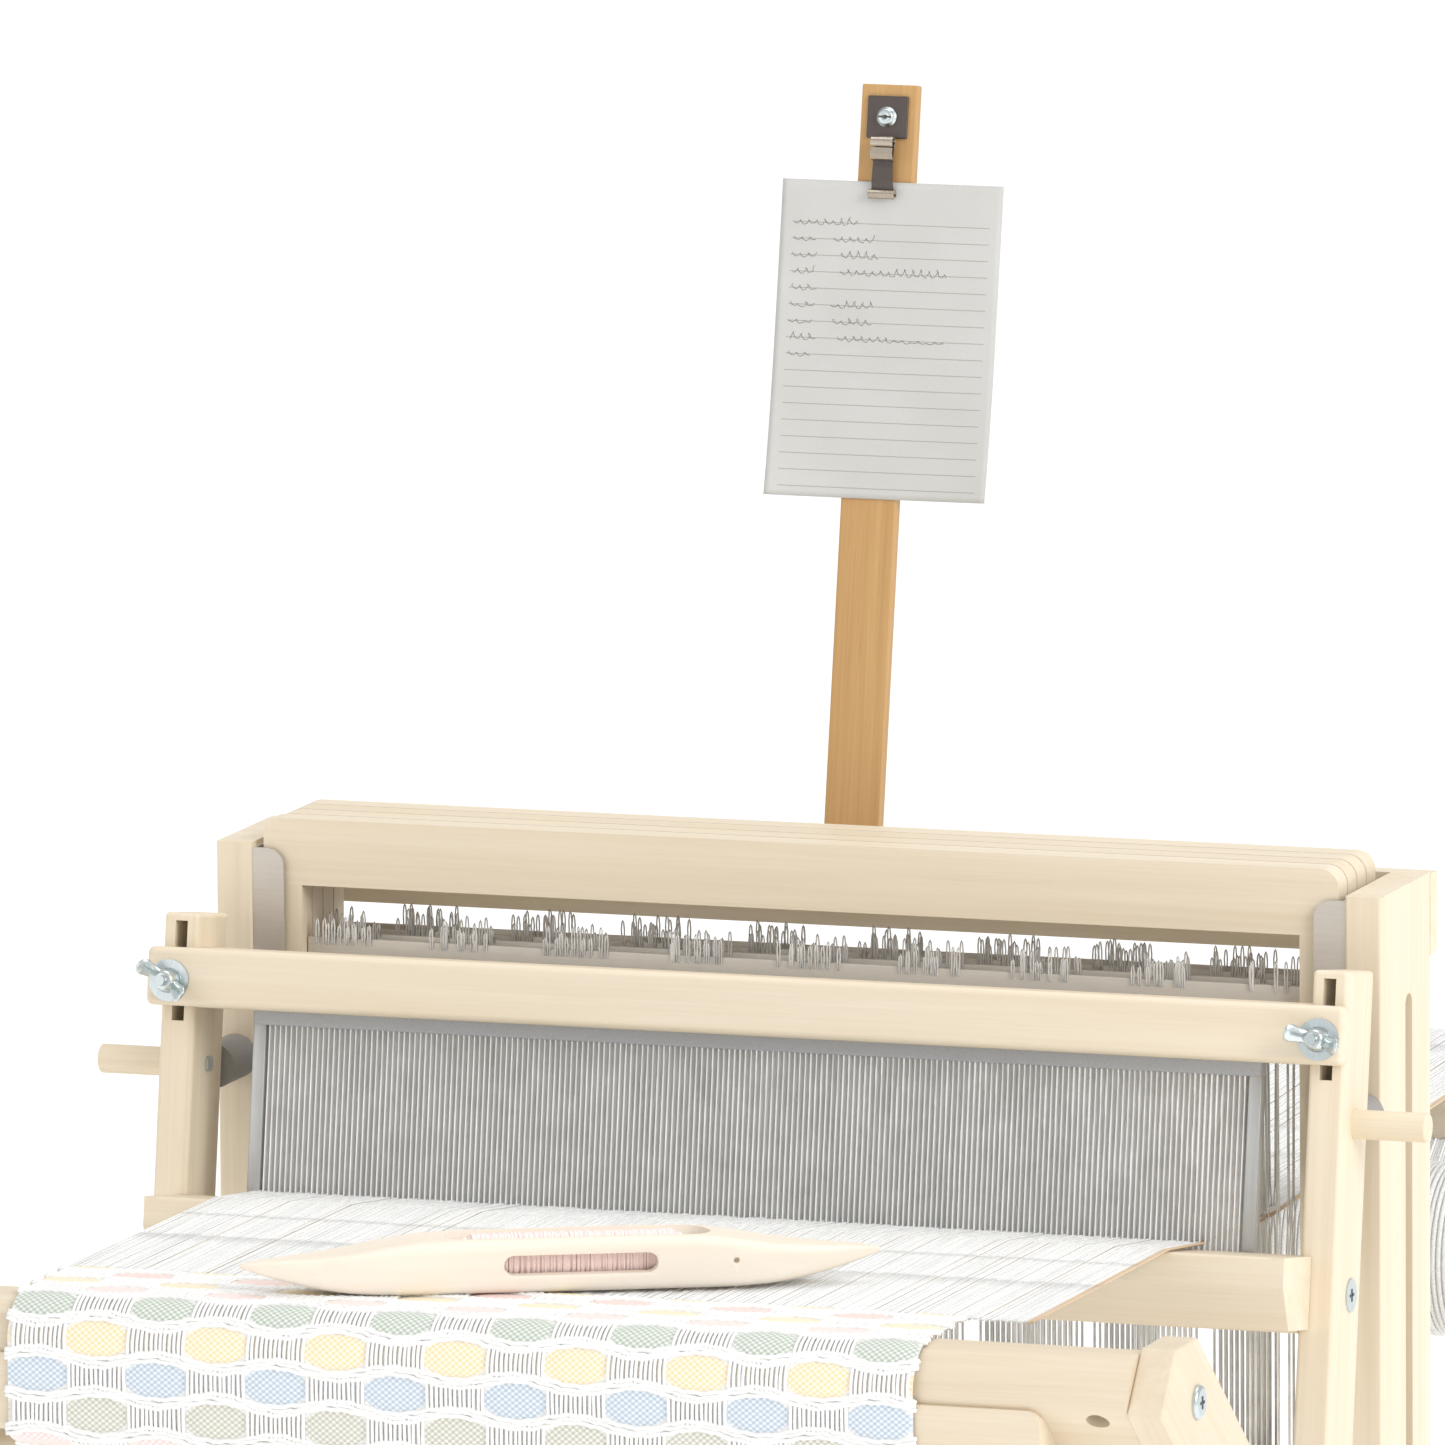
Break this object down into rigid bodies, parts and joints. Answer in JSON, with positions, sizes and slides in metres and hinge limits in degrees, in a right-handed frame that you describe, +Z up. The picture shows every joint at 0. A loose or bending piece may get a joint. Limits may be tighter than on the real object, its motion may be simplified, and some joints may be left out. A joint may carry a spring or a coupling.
{
  "type": "loom",
  "caption": "Small folding floor loom with sliding shafts in a castle, a swinging beater with reed and race, treadles, and cloth on its breast beam.",
  "frame": {"origin": "on the floor, midway between the outer faces and below the fold pivots", "axes": "+Z up; -Y towards the weaver, at the breast beam; +X to the weaver's right"},
  "size_m": [0.6298, 0.8462, 1.0938],
  "materials": {
    "maple": "oiled, satin",
    "golden_wood": "varnished",
    "guide_sheet": "brushed sheet",
    "steel": "satin",
    "zinc_steel": "bright zinc",
    "dark_steel": "satin",
    "clip_steel": "bright",
    "sheet_paper": "matt",
    "bumper_rubber": "matt",
    "reed_steel": "satin",
    "heddle_wire": "satin",
    "cloth": "woven cotton",
    "warp_thread": "cotton yarn",
    "bobbin_yarn": "wool yarn"
  },
  "bodies": {
    "castle": {"castle_post_left": "maple", "castle_post_right": "maple", "castle_rear_rail": "maple", "castle_base": "maple", "shaft_guides": "guide_sheet", "pivot_rods": "steel", "beater_bumpers": "bumper_rubber", "pattern_mast": "golden_wood", "clip_plate": "dark_steel", "pattern_sheet": "sheet_paper", "warp_front": "warp_thread", "warp_back": "warp_thread"},
    "fold_pivots": {"fold_pivot_bolts": "zinc_steel"},
    "front_frame": {"front_leg_left": "maple", "front_leg_right": "maple", "breast_beam": "maple", "front_frame_rail": "maple", "front_frame_bolts": "zinc_steel", "woven_cloth": "cloth"},
    "rear_frame": {"rear_leg_left": "maple", "rear_leg_right": "maple", "back_beam": "maple", "rear_frame_rail": "maple", "rear_frame_bolts": "zinc_steel"},
    "beater": {"beater_post_left": "maple", "beater_post_right": "maple", "beater_lower_rail": "maple", "shuttle_race": "maple", "reed": "reed_steel", "beater_pegs": "maple", "beater_screws": "zinc_steel"},
    "top_bar": {"beater_top_bar": "maple", "top_bar_bolts": "zinc_steel"},
    "wing_nut_left": {"wing_nut_left": "zinc_steel"},
    "wing_nut_right": {"wing_nut_right": "zinc_steel"},
    "shaft_1": {"shaft_1_frame": "maple", "shaft_1_heddles": "heddle_wire"},
    "shaft_2": {"shaft_2_frame": "maple", "shaft_2_heddles": "heddle_wire"},
    "shaft_3": {"shaft_3_frame": "maple", "shaft_3_heddles": "heddle_wire"},
    "shaft_4": {"shaft_4_frame": "maple", "shaft_4_heddles": "heddle_wire"},
    "lamm_1": {"lamm_1": "maple"},
    "lamm_2": {"lamm_2": "maple"},
    "lamm_3": {"lamm_3": "maple"},
    "lamm_4": {"lamm_4": "maple"},
    "treadle_1": {"treadle_1": "maple"},
    "treadle_2": {"treadle_2": "maple"},
    "treadle_3": {"treadle_3": "maple"},
    "treadle_4": {"treadle_4": "maple"},
    "cloth_beam": {"cloth_beam": "maple", "cloth_ratchet": "steel"},
    "cloth_pawl": {"cloth_pawl": "steel"},
    "warp_beam": {"warp_beam": "maple", "warp_ratchet": "steel"},
    "warp_pawl": {"warp_pawl": "steel"},
    "pattern_clip": {"pattern_clip": "clip_steel"},
    "shuttle": {"shuttle": "maple"},
    "bobbin": {"shuttle_bobbin": "bobbin_yarn"}
  },
  "joints": [
    {"name": "fold_slide", "type": "slide", "parent": "castle", "child": "fold_pivots", "axis": [0, 0, 1], "range_m": [0, 0.1105], "deforming": ["warp_front", "warp_back"]},
    {"name": "front_frame_fold", "type": "hinge", "parent": "fold_pivots", "child": "front_frame", "pos_m": [0, 0, 0.2924], "axis": [-1, 0, 0], "range_deg": [0, 18.05]},
    {"name": "rear_frame_fold", "type": "hinge", "parent": "fold_pivots", "child": "rear_frame", "pos_m": [0, 0, 0.2924], "axis": [1, 0, 0], "range_deg": [0, 18.05]},
    {"name": "beater_swing", "type": "hinge", "parent": "castle", "child": "beater", "pos_m": [0, -0.18646, 0.05923], "axis": [-1, 0, 0], "range_deg": [-15.3, 0]},
    {"name": "top_bar_slide", "type": "slide", "parent": "beater", "child": "top_bar", "axis": [0, 0.1547, 0.988], "range_m": [0, 0.023]},
    {"name": "wing_nut_left_turn", "type": "hinge", "parent": "top_bar", "child": "wing_nut_left", "pos_m": [-0.2673, -0.12415, 0.71245], "axis": [0, -0.988, 0.1547], "continuous": true},
    {"name": "wing_nut_right_turn", "type": "hinge", "parent": "top_bar", "child": "wing_nut_right", "pos_m": [0.2673, -0.12415, 0.71245], "axis": [0, -0.988, 0.1547], "continuous": true},
    {"name": "shaft_1_lift", "type": "slide", "parent": "castle", "child": "shaft_1", "axis": [0, 0, 1], "range_m": [0, 0.032]},
    {"name": "lamm_1_swing", "type": "hinge", "parent": "castle", "child": "lamm_1", "pos_m": [-0.226, -0.03045, 0.117], "axis": [0, -1, 0], "range_deg": [0, 8.14]},
    {"name": "treadle_1_press", "type": "hinge", "parent": "castle", "child": "treadle_1", "pos_m": [-0.105, -0.165, 0.118], "axis": [1, 0, 0], "range_deg": [0, 7.08]},
    {"name": "shaft_2_lift", "type": "slide", "parent": "castle", "child": "shaft_2", "axis": [0, 0, 1], "range_m": [0, 0.032]},
    {"name": "lamm_2_swing", "type": "hinge", "parent": "castle", "child": "lamm_2", "pos_m": [-0.226, -0.01645, 0.117], "axis": [0, -1, 0], "range_deg": [0, 8.14]},
    {"name": "treadle_2_press", "type": "hinge", "parent": "castle", "child": "treadle_2", "pos_m": [-0.035, -0.165, 0.118], "axis": [1, 0, 0], "range_deg": [0, 10.21]},
    {"name": "shaft_3_lift", "type": "slide", "parent": "castle", "child": "shaft_3", "axis": [0, 0, 1], "range_m": [0, 0.032]},
    {"name": "lamm_3_swing", "type": "hinge", "parent": "castle", "child": "lamm_3", "pos_m": [-0.226, -0.00245, 0.117], "axis": [0, -1, 0], "range_deg": [0, 8.14]},
    {"name": "treadle_3_press", "type": "hinge", "parent": "castle", "child": "treadle_3", "pos_m": [0.035, -0.165, 0.118], "axis": [1, 0, 0], "range_deg": [0, 12.83]},
    {"name": "shaft_4_lift", "type": "slide", "parent": "castle", "child": "shaft_4", "axis": [0, 0, 1], "range_m": [0, 0.032]},
    {"name": "lamm_4_swing", "type": "hinge", "parent": "castle", "child": "lamm_4", "pos_m": [-0.226, 0.01155, 0.117], "axis": [0, -1, 0], "range_deg": [0, 8.14]},
    {"name": "treadle_4_press", "type": "hinge", "parent": "castle", "child": "treadle_4", "pos_m": [0.105, -0.165, 0.118], "axis": [1, 0, 0], "range_deg": [0, 15.05]},
    {"name": "cloth_beam_turn", "type": "hinge", "parent": "front_frame", "child": "cloth_beam", "pos_m": [0, -0.30741, 0.54044], "axis": [1, 0, 0], "continuous": true},
    {"name": "warp_beam_turn", "type": "hinge", "parent": "rear_frame", "child": "warp_beam", "pos_m": [0, 0.30741, 0.54044], "axis": [-1, 0, 0], "continuous": true},
    {"name": "cloth_pawl_lift", "type": "hinge", "parent": "front_frame", "child": "cloth_pawl", "pos_m": [0.266, -0.27633, 0.56369], "axis": [-1, 0, 0], "range_deg": [0, 20]},
    {"name": "warp_pawl_lift", "type": "hinge", "parent": "rear_frame", "child": "warp_pawl", "pos_m": [0.283, 0.27633, 0.56369], "axis": [1, 0, 0], "range_deg": [0, 20]},
    {"name": "clip_open", "type": "hinge", "parent": "castle", "child": "pattern_clip", "pos_m": [-0.003, 0.09735, 1.06934], "axis": [-1, 0, 0], "range_deg": [0, 25], "stiffness_Nm_per_rad": 0.05},
    {"name": "shuttle_lift", "type": "slide", "parent": "front_frame", "child": "shuttle", "axis": [0, 0, 1], "range_m": [0, 0.06]},
    {"name": "bobbin_spin", "type": "hinge", "parent": "shuttle", "child": "bobbin", "pos_m": [-0.0075, -0.335, 0.639], "axis": [0.9018, 0.4321, 0], "continuous": true}
  ],
  "couplings": [
    {"joint": "front_frame_fold", "follows": "fold_slide", "rad_per_m": 2.8431},
    {"joint": "rear_frame_fold", "follows": "fold_slide", "rad_per_m": 2.8431},
    {"joint": "lamm_1_swing", "follows": "shaft_1_lift", "rad_per_m": 4.4308},
    {"joint": "treadle_1_press", "follows": "shaft_1_lift", "rad_per_m": 3.8531},
    {"joint": "lamm_2_swing", "follows": "shaft_2_lift", "rad_per_m": 4.4308},
    {"joint": "treadle_2_press", "follows": "shaft_2_lift", "rad_per_m": 5.5608},
    {"joint": "lamm_3_swing", "follows": "shaft_3_lift", "rad_per_m": 4.4308},
    {"joint": "treadle_3_press", "follows": "shaft_3_lift", "rad_per_m": 6.9873},
    {"joint": "lamm_4_swing", "follows": "shaft_4_lift", "rad_per_m": 4.4308},
    {"joint": "treadle_4_press", "follows": "shaft_4_lift", "rad_per_m": 8.1993}
  ]
}
